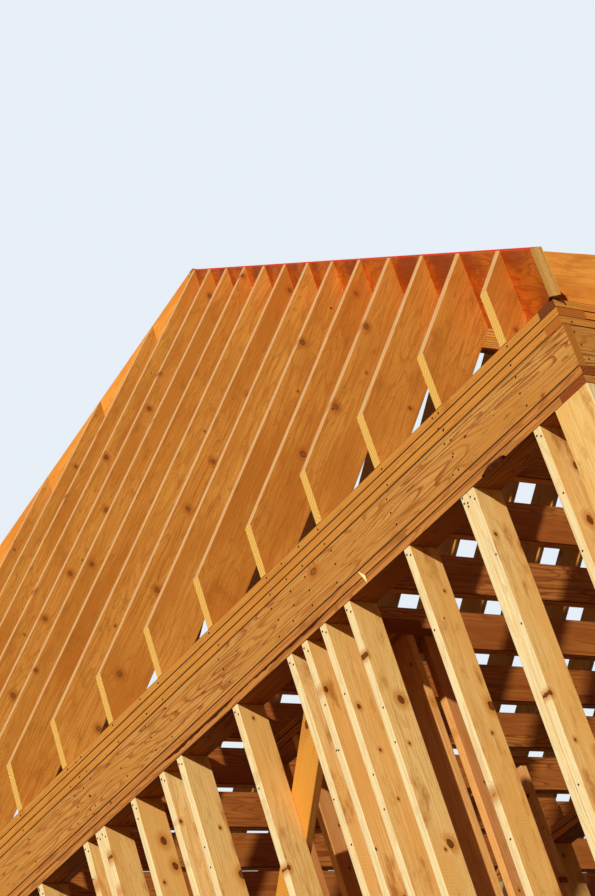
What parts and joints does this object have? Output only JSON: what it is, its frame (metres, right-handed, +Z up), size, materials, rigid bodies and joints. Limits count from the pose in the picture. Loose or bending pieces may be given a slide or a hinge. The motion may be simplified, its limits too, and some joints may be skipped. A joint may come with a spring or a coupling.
{
  "type": "hip roof end frame on stud walls",
  "caption": "Hip end of a framed timber roof: jack rafters cut to two laminated hip rafters, standing on layered plates, a rim joist with ceiling joists, and open stud walls.",
  "frame": {"origin": "centre of the bounding box at the underside of the sole plates", "axes": "+X along the front wall to the right, +Y from the front wall towards the ridge, +Z up"},
  "size_m": [10.82, 8.3944, 7.3679],
  "materials": {
    "rafter_lumber": "sawn and planed softwood, honey tan",
    "laminated_lumber": "laminated veneer lumber, orange brown with a red sealed top edge",
    "rim_lumber": "planed softwood, golden tan with strong grain",
    "stud_lumber": "planed softwood, pale cream yellow",
    "inner_lumber": "planed softwood, brown tan"
  },
  "bodies": {
    "root": {"ceiling_joists": "inner_lumber", "common_rafters_left": "rafter_lumber", "common_rafters_right": "rafter_lumber", "corner_post_left": "stud_lumber", "corner_post_right": "stud_lumber", "front_rafter_01": "rafter_lumber", "front_rafter_02": "rafter_lumber", "front_rafter_03": "rafter_lumber", "front_rafter_04": "rafter_lumber", "front_rafter_05": "rafter_lumber", "front_rafter_06": "rafter_lumber", "front_rafter_07": "rafter_lumber", "front_rafter_08": "rafter_lumber", "front_rafter_09": "rafter_lumber", "front_rafter_10": "rafter_lumber", "front_rafters_left_end": "rafter_lumber", "front_rim_joist": "rim_lumber", "front_roof_plate_bottom": "rim_lumber", "front_roof_plate_middle": "rim_lumber", "front_roof_plate_top": "rim_lumber", "front_sole_plate": "inner_lumber", "front_studs": "stud_lumber", "front_top_plate_lower": "inner_lumber", "front_top_plate_upper": "inner_lumber", "hip_left": "laminated_lumber", "hip_right": "laminated_lumber", "inner_wall_sole_plate": "inner_lumber", "inner_wall_studs": "stud_lumber", "inner_wall_top_plate_lower": "inner_lumber", "inner_wall_top_plate_upper": "inner_lumber", "left_rim_joist": "rim_lumber", "left_roof_plate_bottom": "rim_lumber", "left_roof_plate_middle": "rim_lumber", "left_roof_plate_top": "rim_lumber", "left_sole_plate": "inner_lumber", "left_studs": "stud_lumber", "left_top_plate_lower": "inner_lumber", "left_top_plate_upper": "inner_lumber", "partition_sole_plate": "inner_lumber", "partition_studs": "stud_lumber", "partition_top_plate_lower": "inner_lumber", "partition_top_plate_upper": "inner_lumber", "rear_sole_plate": "inner_lumber", "rear_studs": "stud_lumber", "rear_top_plate_lower": "inner_lumber", "rear_top_plate_upper": "inner_lumber", "ridge_beam": "laminated_lumber", "right_rim_joist": "rim_lumber", "right_roof_plate_bottom": "rim_lumber", "right_roof_plate_middle": "rim_lumber", "right_roof_plate_top": "rim_lumber", "right_sole_plate": "inner_lumber", "right_studs": "stud_lumber", "right_top_plate_lower": "inner_lumber", "right_top_plate_upper": "inner_lumber", "short_wall_post": "stud_lumber", "short_wall_sole_plate": "inner_lumber", "side_jacks_left": "rafter_lumber", "side_jacks_right": "rafter_lumber", "wall_brace": "inner_lumber"}
  },
  "joints": []
}
